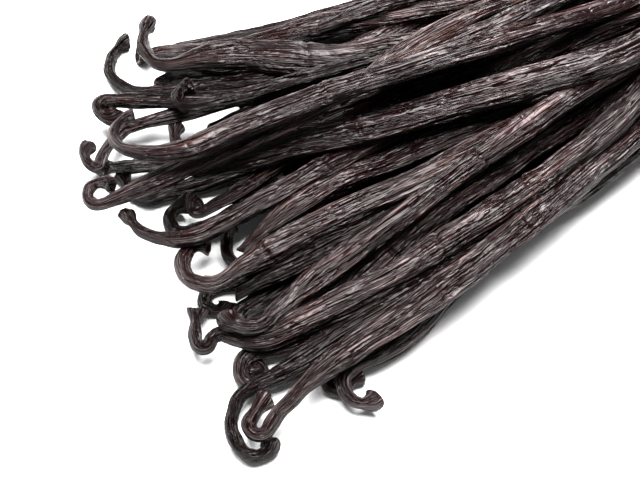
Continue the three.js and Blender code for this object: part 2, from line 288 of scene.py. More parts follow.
def heading(degrees: float) -> np.ndarray:
    """The unit vector in plan at that angle from +X."""
    turn = math.radians(degrees)
    return np.array([math.cos(turn), math.sin(turn)])


@dataclass
class Lie:
    """How one pod lies: its points in plan with their height and half sizes, in mm."""

    pod: PodRecord
    plan: np.ndarray
    along: np.ndarray
    half: np.ndarray
    thick: np.ndarray
    height: np.ndarray

    @property
    def total(self) -> float:
        """The pod's length from the stem's tip to the far end."""
        return float(self.along[-1])


@dataclass
class Heap:
    """The laying of the bundle: every pod rests on the table or on those below it.

    Sizes are in mm, and angles in degrees where nothing else is said.
    """

    stem_flare: float = 1.35
    flare_length: float = 4.5
    swell_early: float = 4.0  # mm of the swell that are still on the stalk
    swell_length: float = 26.0
    taper_length: float = 34.0
    taper_power: float = 2.2
    blunt_share: float = 0.42
    flatness: float = 0.64
    stalk_flatness: float = 0.9
    press: float = 0.62
    bend_radius: float = 160.0
    settle_step: float = 4.0
    stem_step: float = 2.0
    largest_turn: float = 18.0
    flat_depth: float = 0.25
    under_count: int = 5
    under_knee: tuple[float, float, float] = (-1, -12, 50)
    under_end: tuple[float, float, float] = (144, -4, 38)
    under_width: float = 7.4
    # a dark tone, partly painted shade, as these pods lie under all the others
    under_tone: float = -0.8
    under_spread: float = 4.0
    under_turn: float = 2.4  # radians from one to the next, which makes them uneven

    def pods_under(self) -> list[PodRecord]:
        """The pods on the table, wholly under the others, that carry the heap."""
        made = []
        for i in range(self.under_count):
            share = i / (self.under_count - 1)
            uneven = self.under_spread * math.sin(self.under_turn * i + 1)
            start = self.under_knee[1] + share * (self.under_knee[2] - self.under_knee[1])
            stop = self.under_end[1] + share * (self.under_end[2] - self.under_end[1])
            run = self.under_end[0] - self.under_knee[0]
            made.append(
                PodRecord(
                    f"under the heap, {i + 1}", Layer.TABLE,
                    (self.under_knee[0] + uneven, start),
                    math.degrees(math.atan2(stop - start, run)),
                    (self.under_end[0] + uneven, stop), 0, self.under_width, 2,
                    ((6, uneven),), tone=self.under_tone, sunk=True,
                )
            )
        return made

    def run_points(self, pod: PodRecord) -> np.ndarray:
        """The straight run, a cubic from the knee to the far end."""
        start, stop = np.array(pod.knee, float), np.array(pod.end, float)
        chord = float(np.linalg.norm(stop - start))
        leave = start + heading(pod.aim) * chord / 3
        arrive = stop - heading(pod.close) * chord / 3
        count = math.floor(chord / self.settle_step + 0.5)
        t = (np.arange(count + 1) / count)[:, None]
        u = 1 - t
        return u**3 * start + 3 * u * u * t * leave + 3 * u * t * t * arrive + t**3 * stop

    def stem_points(self, pod: PodRecord) -> np.ndarray:
        """The bent part, from the knee back to the tip of the stem."""
        points = [np.array(pod.knee, float)]
        way = pod.aim + 180
        for length, turn in pod.back:
            count = max(
                1,
                math.floor(length / self.stem_step + 0.5),
                math.ceil(abs(turn) / self.largest_turn),
            )
            for _ in range(count):
                way += turn / count / 2
                points.append(points[-1] + heading(way) * length / count)
                way += turn / count / 2
        return np.array(points)

    def swell(self, pod: PodRecord, at: np.ndarray) -> np.ndarray:
        """0 on the dry stem and 1 on the full pod."""
        return smoothstep((at - pod.stalk + self.swell_early) / self.swell_length)

    def half_width(self, pod: PodRecord, at: np.ndarray, total: float) -> np.ndarray:
        """Half the width of a pod at distances from the tip of its stem."""
        flare = 0 * at
        if pod.stalk > self.flare_length:
            flare = 1 - smoothstep(at / self.flare_length)
        stem = min(pod.stem, pod.width) * (1 + flare * (self.stem_flare - 1))
        left = np.clip((total - at) / self.taper_length, 0, 1)
        rounded = np.sqrt(1 - (1 - left) ** self.taper_power)
        tail = self.blunt_share + (1 - self.blunt_share) * rounded
        return 0.5 * (stem + (pod.width - stem) * self.swell(pod, at)) * tail

    def half_thickness(self, pod: PodRecord, at: np.ndarray, half: np.ndarray) -> np.ndarray:
        """Half the thickness: round at the stem, flattened in the body."""
        flat = self.stalk_flatness + (self.flatness - self.stalk_flatness) * self.swell(pod, at)
        return half * flat

    def lay(self, pod: PodRecord, laid: Sequence[Lie]) -> Lie:
        """Lays one pod down on the table and on the pods below it.

        Args:
            pod: the pod.
            laid: the pods that are there already.

        Returns:
            How the pod lies.
        """
        plan = np.vstack([self.stem_points(pod)[:0:-1], self.run_points(pod)])
        steps = np.linalg.norm(np.diff(plan, axis=0), axis=1)
        along = np.concatenate([[0], np.cumsum(steps)])
        half = self.half_width(pod, along, along[-1])
        thick = self.half_thickness(pod, along, half)
        rest = thick - self.flat_depth
        for below in laid:
            apart = np.linalg.norm(plan[:, None] - below.plan[None], axis=2)
            reach = half[:, None] + below.half[None]
            stack = self.press * (thick[:, None] + below.thick[None])
            bulge = np.sqrt(np.clip(1 - (apart / reach) ** 2, 0, 1))
            lift = np.where(apart < reach, below.height[None] + stack * bulge, 0)
            rest = np.maximum(rest, lift.max(axis=1))
        gone = along[:, None] - along[None]
        height = (rest[None] - gone**2 / (2 * self.bend_radius)).max(axis=1)
        return Lie(pod, plan, along, half, thick, height)

    def lay_down(self) -> list[Lie]:
        """Lays every pod down, from the first to the last."""
        laid: list[Lie] = []
        for pod in (*self.pods_under(), *SHOWN):
            laid.append(self.lay(pod, laid))
        return laid


class SkinNoise:
    """Seeded gradient noise in three dimensions, for whole arrays of places."""

    CELLS = 256

    def __init__(self, seed: int) -> None:
        """Draws the lattice.

        Args:
            seed: the number that the draws start from.
        """
        draw = np.random.default_rng(seed)
        self.order = draw.permutation(self.CELLS)
        ways = draw.normal(size=(self.CELLS, 3))
        self.ways = ways / np.linalg.norm(ways, axis=1)[:, None]

    def at(self, *place: Any) -> np.ndarray:
        """The noise, about -0.7 to 0.7, with a cell one unit wide.

        Args:
            place: the three coordinates, as numbers or arrays that fit together.

        Returns:
            One number for each place.
        """
        spots = np.broadcast_arrays(*[np.asarray(p, float) for p in place])
        cell = [np.floor(p).astype(np.int64) for p in spots]
        part = [p - c for p, c in zip(spots, cell)]
        fade = [p * p * p * (p * (p * 6 - 15) + 10) for p in part]
        total = np.zeros(spots[0].shape)
        last = self.CELLS - 1
        for corner in np.ndindex(2, 2, 2):
            key = np.zeros(spots[0].shape, np.int64)
            for c, step in zip(cell, corner):
                key = self.order[(key + c + step) & last]
            weight, dot = 1.0, 0.0
            for axis, step in enumerate(corner):
                weight = weight * (fade[axis] if step else 1 - fade[axis])
                dot = dot + self.ways[key, axis] * (part[axis] - step)
            total += weight * dot
        return total


@dataclass
class Spine:
    """A laid pod's centre line at every half millimetre, with its frame and half sizes."""

    lie: Lie
    step: float = 0.5
    settle_blur: float = 4.0  # mm over which a soft pod evens out its rises
    bend_blur: float = 0.8  # mm over which its bends are evened out

    def __post_init__(self) -> None:
        """Samples the centre line."""
        lie = self.lie
        count = int(lie.total / self.step) + 1
        self.at = np.linspace(0, lie.total, count)
        plan = np.stack([self.curve(lie.plan[:, k]) for k in range(2)], axis=1)
        height = np.interp(self.at, lie.along, lie.height)
        self.centre = np.column_stack([plan, self.blurred(height, self.settle_blur)])
        self.half = np.interp(self.at, lie.along, lie.half)
        self.thick = np.interp(self.at, lie.along, lie.thick)
        way = np.gradient(self.centre, self.at, axis=0)
        self.way = way / np.linalg.norm(way, axis=1)[:, None]
        angle = np.unwrap(np.arctan2(self.way[:, 1], self.way[:, 0]))
        self.bend = self.blurred(np.gradient(angle, self.at), self.bend_blur)

    def curve(self, values: np.ndarray) -> np.ndarray:
        """A smooth curve through one coordinate of the pod's points.

        Args:
            values: the coordinate at each point of the plan.

        Returns:
            The coordinate at each sample.
        """
        along = self.lie.along
        slope = np.gradient(values, along)
        i = np.clip(np.searchsorted(along, self.at, side="right") - 1, 0, len(along) - 2)
        gap = along[i + 1] - along[i]
        t = (self.at - along[i]) / gap
        start, stop = values[i], values[i + 1]
        leave, arrive = slope[i] * gap, slope[i + 1] * gap
        return (
            (2 * t**3 - 3 * t**2 + 1) * start
            + (t**3 - 2 * t**2 + t) * leave
            + (3 * t**2 - 2 * t**3) * stop
            + (t**3 - t**2) * arrive
        )

    def blurred(self, values: np.ndarray, width: float) -> np.ndarray:
        """The values evened out along the pod.

        Args:
            values: one for each sample.
            width: mm over which they are evened out.

        Returns:
            The evened values.
        """
        reach = int(3 * width / self.step)
        weights = np.exp(-0.5 * (np.arange(-reach, reach + 1) * self.step / width) ** 2)
        head = 2 * values[0] - values[reach:0:-1]
        tail = 2 * values[-1] - values[-2 : -reach - 2 : -1]
        return np.convolve(np.concatenate([head, values, tail]), weights / weights.sum(), "valid")

    def read(self, values: np.ndarray, at: np.ndarray) -> np.ndarray:
        """Any of the sampled values, at distances along the pod."""
        if values.ndim == 1:
            return np.interp(at, self.at, values)
        return np.stack([np.interp(at, self.at, column) for column in values.T], axis=-1)


@dataclass
class PodBlank:
    """A plain round bar, a row of vertices for each section of a pod."""

    sides: int
    rows: int

    def build(self) -> bmesh.types.BMesh:
        """A cylinder one unit long whose length is cut into rows."""
        bar = bmesh.new()
        bmesh.ops.create_cone(
            bar, cap_ends=True, cap_tris=False, segments=self.sides,
            radius1=1.0, radius2=1.0, depth=1.0,
        )
        lengthwise = [
            edge for edge in bar.edges if abs(edge.verts[0].co.z - edge.verts[1].co.z) > 0.5
        ]
        bmesh.ops.subdivide_edges(bar, edges=lengthwise, cuts=self.rows - 2)
        return bar

    def places(self, mesh: bpy.types.Mesh) -> tuple[np.ndarray, np.ndarray]:
        """The row and the side of each vertex.

        Args:
            mesh: the bar as a mesh.

        Returns:
            The row, from the stem's tip, and the side, counted round the pod.
        """
        spots = np.empty(len(mesh.vertices) * 3, np.float32)
        mesh.vertices.foreach_get("co", spots)
        spots = spots.reshape(-1, 3)
        row = np.rint((spots[:, 2] + 0.5) * (self.rows - 1)).astype(int)
        turn = np.arctan2(spots[:, 1], spots[:, 0]) / (2 * math.pi)
        return row, np.rint(turn * self.sides).astype(int) % self.sides


@dataclass
class PodGrid:
    """The vertices of one pod: distances from the stem's tip by angles round it."""

    spine: Spine
    noise: SkinNoise
    seed: int  # the pod's place in the heap
    start: float  # where the pod starts in the noise
    at: np.ndarray  # a column
    turn: np.ndarray  # a row

    def read(self, values: np.ndarray) -> np.ndarray:
        """Any of the spine's sampled values at each distance."""
        return self.spine.read(values, self.at)


@dataclass(frozen=True)
class Wave:
    """One slow unevenness along a pod, in a lane of the noise that is its own."""

    lane: float
    run: float  # mm along the pod
    strength: float

    def along(self, grid: PodGrid) -> np.ndarray:
        """Its value at each distance along the pod."""
        return self.strength * grid.noise.at(grid.start, self.lane, grid.at / self.run)


@dataclass(frozen=True)
class Furrows:
    """Folds or creases that run along a pod, where a noise passes through zero."""

    lane: float
    spacing: float  # mm from one to the next round the pod
    run: float  # mm along the pod
    width: float = 1.0  # of a crease, as a share of the noise's swing

    def around(
        self, grid: PodGrid, girth: float, wind: np.ndarray
    ) -> tuple[np.ndarray, np.ndarray]:
        """The noise and the creases in it.

        Args:
            grid: the pod's vertices.
            girth: mm round the pod.
            wind: the angle of each vertex round the pod.

        Returns:
            The noise, and the creases as 1 in the middle of one and 0 away from it.
        """
        radius = girth / self.spacing / (2 * math.pi)
        value = grid.noise.at(
            radius * np.cos(wind) + grid.start,
            radius * np.sin(wind) + self.lane,
            grid.at / self.run + self.lane,
        )
        return value, np.exp(-((value / self.width) ** 2))


@dataclass(frozen=True)
class Band:
    """A collar or a waist that runs round the pod."""

    height: float
    length: float  # mm
    place: float = 0.0  # mm from the stem's tip, or from where it is read

    def along(self, at: np.ndarray) -> np.ndarray:
        """Its height at distances along the pod."""
        return self.height * np.exp(-(((at - self.place) / self.length) ** 2))


@dataclass(frozen=True)
class Lobes:
    """Corners of a section that isn't round."""

    count: int
    height: float
    turn_by: float  # radians from one pod to the next

    def around(self, grid: PodGrid, sway: Any = 0.0) -> np.ndarray:
        """Their height at each angle round the pod."""
        return self.height * np.cos(self.count * grid.turn + self.turn_by * grid.seed + sway)


@dataclass
class PodSkin:
    """The relief of one pod: folds, fine ridges, knuckles and its two ends, in mm, with the shade
    painted into its creases, pressed wrinkles and underside.
    """

    # Along the whole pod
    fold: Furrows = Furrows(lane=11.3, spacing=2.1, run=44.0, width=0.13)
    fold_depth: float = 0.36
    fold_crown: float = 0.126  # how far the skin swells between two folds
    crown_steep: float = 3.0
    ridge: Furrows = Furrows(lane=29.9, spacing=0.9, run=25.0, width=0.17)
    ridge_depth: float = 0.3
    # how much painted shade the creases between the fine ridges take
    ridge_painted_shade: float = 0.75
    groove: Furrows = Furrows(lane=83.7, spacing=4.6, run=42.0, width=0.11)
    groove_depth: float = 0.55
    lump: Furrows = Furrows(lane=47.1, spacing=6.5, run=20.0)
    lump_depth: float = 0.22
    twist: Wave = Wave(lane=3.1, run=60.0, strength=0.9)
    wriggle: Wave = Wave(lane=9.7, run=14.0, strength=0.25)
    girth_share: float = 0.83  # of a round section as wide as the pod
    full_thickness: float = 0.32  # share of the width from which the relief is at its full depth
    least_relief: float = 0.25
    stem_calm: float = 0.5  # how much shallower the relief is on the stem
    woody_fade: float = 22.0
    # Where it bends
    pucker_depth: float = 0.256
    pucker_spacing: float = 1.5
    pucker_radius: float = 1.6
    pucker_least: float = 0.2
    pucker_gain: float = 4.0  # for each radian in a millimetre
    pucker_inside: float = 0.8
    pucker_most: float = 1.4
    inside_gain: float = 9.0
    body_pucker: float = 0.35
    # painted shade in the pressed wrinkles: its gain and its most
    pucker_painted_shade: float = 1.4
    pucker_painted_shade_most: float = 0.7
    # At a knuckle
    knuckle_crease: Band = Band(height=-0.55, length=0.7)
    knuckle_swell: Band = Band(height=0.4, length=4.5)
    knuckle_tilt: float = 1.2
    knuckle_wander: float = 0.8
    # The section
    body_rise: float = 20.0
    body_fall: float = 12.0
    slow_girth: Wave = Wave(lane=21.7, run=24.0, strength=0.16)
    quick_girth: Wave = Wave(lane=33.3, run=8.0, strength=0.1)
    stem_girth: Wave = Wave(lane=81.3, run=5.0, strength=0.3)
    flattening: Wave = Wave(lane=41.9, run=30.0, strength=0.2)
    body_lobes: Lobes = Lobes(count=3, height=0.05, turn_by=1.0)
    lobe_twist: Wave = Wave(lane=51.3, run=50.0, strength=2.2)
    oval: Lobes = Lobes(count=2, height=0.04, turn_by=2.1)
    squareness: float = 0.24
    inside_reach: float = 0.8  # share of a bend's radius that the section may fill
    slow_sway: Wave = Wave(lane=63.1, run=34.0, strength=0.9)
    quick_sway: Wave = Wave(lane=71.7, run=12.0, strength=0.4)
    stem_sway: Wave = Wave(lane=91.9, run=6.0, strength=0.8)
    # The picked end of the stem
    stalk_shown: float = 4.0  # a shorter stalk is hidden under other pods
    collar: Band = Band(height=0.16, length=1.3, place=1.4)
    waist: Band = Band(height=-0.14, length=1.6, place=4.6)
    knob_length: float = 2.2
    knob_lobes: tuple[Lobes, ...] = (Lobes(2, 0.1, 1.0), Lobes(3, 0.09, 1.7), Lobes(5, 0.05, 0.6))
    slant: Lobes = Lobes(count=1, height=0.45, turn_by=1.3)
    slant_length: float = 1.6
    # Depth inside the picked end and share of its radius, from the middle of the scar out
    picked_end: tuple[tuple[float, float], ...] = (
        (0.95, 0.14), (0.8, 0.45), (0.35, 0.66), (0.0, 0.84), (0.1, 0.97), (0.5, 1.04),
    )
    scar_rows: int = 4
    # The blunt far end, as angles round it
    far_end: tuple[float, ...] = (18.0, 38.0, 57.0, 72.0, 84.0)
    far_radius: float = 1.15
    # Sections
    stem_gap: float = 1.05  # between sections on the stem
    body_gap: float = 3.2
    stem_reach: float = 44.0
    gap_fade: float = 16.0
    turn_per_row: float = 10.0  # degrees
    knuckle_rows: Band = Band(height=1.6, length=2.6)
    head_room: float = 0.3
    last_gap: float = 0.2  # share of a gap left before the far end's round
    # What the finish reads
    stretch: float = 37.0  # from one pod to the next in the noise
    pattern_stretch: float = 259.0  # mm from one pod to the next in the finish's patterns
    pattern_radius: float = 0.4  # share of the width
    dry_share: float = 0.75  # of the stalk, from which the finish turns from woody to skin
    dry_fade: float = 14.0
    tone_fade: float = 16.0
    painted_underside_span: tuple[float, float] = (0.7, 1.2)  # where on the sides the shade painted on a pod's underside ends

    def sections(self, spine: Spine, rows: int) -> tuple[np.ndarray, np.ndarray]:
        """Where the sections of a pod are, closer together where it bends.

        Args:
            spine: the pod's centre line.
            rows: how many sections there are.

        Returns:
            The distance of each from the stem's tip, and its share of the full radius.
        """
        total = spine.lie.total
        radius = float(spine.thick[-1]) * self.far_radius
        head = np.array([depth for depth, _ in self.picked_end])
        far = np.radians(self.far_end)
        tail = total - radius * (1 - np.sin(far))
        body = smoothstep((spine.at - self.stem_reach) / self.gap_fade + 0.5)
        crowd = 1 / (self.stem_gap + (self.body_gap - self.stem_gap) * body)
        crowd = crowd + np.abs(spine.bend) / math.radians(self.turn_per_row)
        for place in spine.lie.pod.knuckles:
            crowd = crowd + self.knuckle_rows.along(spine.at - place)
        inside = (spine.at > head[-1] + self.head_room) & (spine.at < total - radius)
        summed = np.cumsum(crowd * inside)
        middle = rows - len(head) - len(tail)
        wanted = np.linspace(summed[0] + crowd[0], summed[-1] - crowd[-1] * self.last_gap, middle)
        at = np.concatenate([head, np.interp(wanted, summed, spine.at), tail])
        share = np.concatenate(
            [[part for _, part in self.picked_end], np.ones(middle), np.cos(far)]
        )
        return at, share

    def relief(self, grid: PodGrid) -> tuple[np.ndarray, np.ndarray]:
        """How far the skin stands out at each vertex, and how far it is clear of painted shade.

        Args:
            grid: the pod's vertices.

        Returns:
            The rise in mm, and the height from 0 in a crease to 1 on a crest.
        """
        pod, at, turn = grid.spine.lie.pod, grid.at, grid.turn
        girth = math.pi * pod.width * self.girth_share
        wind = turn + self.twist.along(grid) + self.wriggle.along(grid)
        fold, fold_crease = self.fold.around(grid, girth, wind)
        _, ridge_crease = self.ridge.around(grid, girth, wind)
        lump, _ = self.lump.around(grid, girth, wind)
        _, groove_crease = self.groove.around(grid, girth, wind)
        woody = 1 - smoothstep((at - pod.stalk) / self.woody_fade)
        groove_crease = groove_crease * (1 - woody)
        full = pod.width * self.full_thickness
        thin = np.clip(grid.read(grid.spine.thick) / full, self.least_relief, 1)
        rise = (
            -self.fold_depth * fold_crease
            - self.ridge_depth * ridge_crease
            - self.groove_depth * groove_crease
            + self.fold_crown * np.clip(np.abs(fold) * self.crown_steep, 0, 1)
            + self.lump_depth * lump
        ) * thin * (1 - self.stem_calm * woody)
        drawn, pucker = self.puckers(grid)
        drawn = drawn * (self.body_pucker + (1 - self.body_pucker) * woody)
        rise = rise + self.pucker_depth * drawn * pucker
        for i, place in enumerate(pod.knuckles):
            ragged = grid.noise.at(2 * np.cos(turn), 2 * np.sin(turn), i)
            tilt = self.knuckle_tilt * np.cos(turn + grid.seed + i) + self.knuckle_wander * ragged
            off = at - place - tilt
            rise = rise + self.knuckle_crease.along(off) + self.knuckle_swell.along(off)
        # Painted shade: creases and pressed wrinkles are darkened, and the lower sides down to
        # half, as if in shadow
        painted_crease_shade = fold_crease + self.ridge_painted_shade * ridge_crease + groove_crease
        painted_pucker_shade = np.clip(-pucker * drawn * self.pucker_painted_shade, 0, self.pucker_painted_shade_most)
        low, span = self.painted_underside_span
        painted_underside_shade = 0.5 + 0.5 * smoothstep((np.sin(turn) + low) / span)
        return rise, (1 - np.clip(painted_crease_shade, 0, 1)) * (1 - painted_pucker_shade) * painted_underside_shade

    def puckers(self, grid: PodGrid) -> tuple[np.ndarray, np.ndarray]:
        """The wrinkles across a pod that its bends push up.

        Args:
            grid: the pod's vertices.

        Returns:
            How strong they are at each vertex, and the wrinkles themselves.
        """
        bend = grid.read(grid.spine.bend)
        inside = np.clip(bend * self.inside_gain, -1, 1) * np.cos(grid.turn)
        strong = self.pucker_least + np.abs(bend) * self.pucker_gain + self.pucker_inside * inside
        wrinkles = grid.noise.at(
            self.pucker_radius * np.cos(grid.turn) + grid.start,
            self.pucker_radius * np.sin(grid.turn),
            grid.at / self.pucker_spacing,
        )
        return np.clip(strong, 0, self.pucker_most), wrinkles

    def section(self, grid: PodGrid) -> tuple[np.ndarray, np.ndarray, np.ndarray]:
        """The smooth section at each vertex, before the relief.

        Args:
            grid: the pod's vertices.

        Returns:
            The half width and the half thickness in mm, and how much of the full pod's body
            is there, from 0 on the stem to 1.
        """
        lie, at = grid.spine.lie, grid.at
        picked = lie.pod.stalk > self.stalk_shown
        body = smoothstep((at - lie.pod.stalk) / self.body_rise)
        body = body * smoothstep((lie.total - at) / self.body_fall)
        uneven = 1 + body * (self.slow_girth.along(grid) + self.quick_girth.along(grid))
        uneven = uneven + (1 - body) * self.stem_girth.along(grid)
        uneven = uneven + (self.collar.along(at) + self.waist.along(at)) * picked
        flat = 1 + body * self.flattening.along(grid)
        lobes = 1 + body * self.body_lobes.around(grid, self.lobe_twist.along(grid))
        lobes = lobes + self.oval.around(grid)
        knob = np.exp(-at / self.knob_length) * picked
        lobes = lobes + knob * sum(part.around(grid) for part in self.knob_lobes)
        half = grid.read(grid.spine.half) * uneven * lobes
        return half, grid.read(grid.spine.thick) * uneven * flat * lobes, body

    def shape(
        self, lie: Lie, rows: int, sides: int, noise: SkinNoise, seed: int
    ) -> dict[str, np.ndarray]:
        """Every vertex of one pod, with what its finish reads.

        Args:
            lie: how the pod lies.
            rows: how many sections it has.
            sides: how many vertices a section has.
            noise: the noise that the relief is drawn from.
            seed: the pod's place in the heap.

        Returns:
            Arrays by row and side: place in mm, skin for the pattern's coordinates in mm, look for
            the share clear of painted shade, woody stem and scar, and pod for tone and warmth.
        """
        spine = Spine(lie)
        at, share = (part[:, None] for part in self.sections(spine, rows))
        turn = (np.arange(sides) * 2 * math.pi / sides)[None]
        grid = PodGrid(spine, noise, seed, self.stretch * seed, at, turn)
        centre, way = spine.read(spine.centre, at[:, 0]), spine.read(spine.way, at[:, 0])
        way = way / np.linalg.norm(way, axis=1)[:, None]
        side = np.column_stack([-way[:, 1], way[:, 0], np.zeros(rows)])
        side = side / np.linalg.norm(side, axis=1)[:, None]
        up = np.cross(way, side)
        half, thick, body = self.section(grid)
        rise, clear_of_painted_shade = self.relief(grid)
        square = 1 - self.squareness * body
        side_way = np.sign(np.cos(turn)) * np.abs(np.cos(turn)) ** square
        up_way = np.sign(np.sin(turn)) * np.abs(np.sin(turn)) ** square
        across = (half + rise) * share * side_way
        above = (thick + rise) * share * up_way
        bend = grid.read(spine.bend)
        limit = self.inside_reach / np.maximum(np.abs(bend), 1e-4)
        held = np.sign(across) * np.minimum(np.abs(across), limit)
        across = np.where(across * bend > 0, held, across)
        sway = body * (self.slow_sway.along(grid) + self.quick_sway.along(grid))
        sway = sway + (1 - body) * self.stem_sway.along(grid)
        slant = self.slant.around(grid) * grid.read(spine.half) * share
        slant = slant * np.exp(-at / self.slant_length)
        place = (
            centre[:, None]
            + side[:, None] * (across + sway)[..., None]
            + up[:, None] * above[..., None]
            + way[:, None] * slant[..., None]
        )
        place[..., 2] = np.maximum(place[..., 2], TABLE_CLEAR)
        return {"place": place, **self.read_by_finish(grid, clear_of_painted_shade)}

    def read_by_finish(self, grid: PodGrid, clear_of_painted_shade: np.ndarray) -> dict[str, np.ndarray]:
        """What the finish reads at each vertex.

        Args:
            grid: the pod's vertices.
            clear_of_painted_shade: how far each vertex is clear of the shade painted into creases,
                pressed wrinkles and the underside.

        Returns:
            The arrays skin, look and pod, by row and side.
        """
        pod, at, turn = grid.spine.lie.pod, grid.at, grid.turn
        full = np.ones(clear_of_painted_shade.shape)
        picked = pod.stalk > self.stalk_shown
        radius = pod.width * self.pattern_radius
        woody = 1 - smoothstep((at - pod.stalk * self.dry_share) / self.dry_fade)
        scar = (np.arange(len(at)) < self.scar_rows)[:, None]
        tone = pod.tone + pod.stem_tone * (1 - smoothstep((at - pod.stalk) / self.tone_fade))
        along = at + self.pattern_stretch * grid.seed
        parts = {
            "skin": (radius * np.cos(turn), radius * np.sin(turn), along),
            "look": (clear_of_painted_shade, woody * picked, scar * picked),
            "pod": (tone, pod.warmth, 0.0),
        }
        return {
            name: np.stack([part * full for part in values], -1) for name, values in parts.items()
        }


MATH = "ShaderNodeMath"
MAP_RANGE = "ShaderNodeMapRange"
MIX = "ShaderNodeMix"
SUM = "MULTIPLY_ADD"  # input 0 times input 1, plus input 2


def linear(shade: str) -> tuple[float, float, float, float]:
    """An sRGB hex colour as the linear colour that a shader takes."""
    parts = [int(shade[i : i + 2], 16) / 255 for i in (1, 3, 5)]
    made = [p / 12.92 if p <= 0.04045 else ((p + 0.055) / 1.055) ** 2.4 for p in parts]
    return (*made, 1.0)


def add_node(tree: bpy.types.NodeTree, kind: str, links: dict[Any, Any], **settings: Any) -> Any:
    """Adds a node with its settings, values and links.

    Args:
        tree: the material's node tree.
        kind: the node's type.
        links: by input name or number, a value to set, or a socket or a node to link from,
            of which the first output in use is taken.
        settings: the node's own properties.

    Returns:
        The new node.
    """
    made = tree.nodes.new(kind)
    for name, value in settings.items():
        setattr(made, name, value)
    for name, value in links.items():
        if isinstance(value, bpy.types.Node):
            value = next(output for output in value.outputs if output.enabled)
        if isinstance(value, bpy.types.NodeSocket):
            tree.links.new(value, made.inputs[name])
        else:
            made.inputs[name].default_value = value
    return made


def new_material(name: str) -> tuple[bpy.types.Material, bpy.types.NodeTree, Any]:
    """A material with a bare surface shader.

    Args:
        name: what the material is called.

    Returns:
        The material, its node tree and its surface shader.
    """
    made = bpy.data.materials.new(name)
    made.use_nodes = True
    made.node_tree.nodes.clear()
    surface = add_node(made.node_tree, "ShaderNodeBsdfPrincipled", {})
    add_node(made.node_tree, "ShaderNodeOutputMaterial", {"Surface": surface.outputs["BSDF"]})
    return made, made.node_tree, surface


@dataclass(frozen=True)
class Grain:
    """Noise drawn out along the pod: how wide and long its streaks are, in mm."""

    width: float
    run: float
    detail: float = 0.0  # how much finer noise is in it

    def build(self, tree: bpy.types.NodeTree, skin: Any) -> Any:
        """Adds it to a material.

        Args:
            tree: the material's node tree.
            skin: the socket with the place on the skin in mm.

        Returns:
            The node that gives the noise, from 0 to 1.
        """
        spread = add_node(
            tree, "ShaderNodeVectorMath",
            {0: skin, 1: (1 / self.width, 1 / self.width, 1 / self.run)}, operation="MULTIPLY",
        )
        return add_node(
            tree, "ShaderNodeTexNoise", {"Vector": spread, "Scale": 1.0, "Detail": self.detail}
        )


@dataclass(frozen=True)
class Span:
    """The stretch of a value over which something goes from 0 to 1."""

    low: float
    high: float

    @property
    def inputs(self) -> dict[str, float]:
        """Its two ends, as a node that maps a range takes them."""
        return {"From Min": self.low, "From Max": self.high}


@dataclass(frozen=True)
class Creases:
    """Rounded ridges with narrow creases between them, too fine for the mesh."""

    grain: Grain
    crease: Span  # of the noise's distance from its middle

    def build(self, tree: bpy.types.NodeTree, skin: Any) -> Any:
        """The node that gives 0 in a crease and 1 on a ridge."""
        noise = self.grain.build(tree, skin)
        off = add_node(tree, MATH, {0: noise, 1: 0.5}, operation="SUBTRACT")
        size = add_node(tree, MATH, {0: off}, operation="ABSOLUTE")
        return add_node(tree, MAP_RANGE, {"Value": size, **self.crease.inputs})


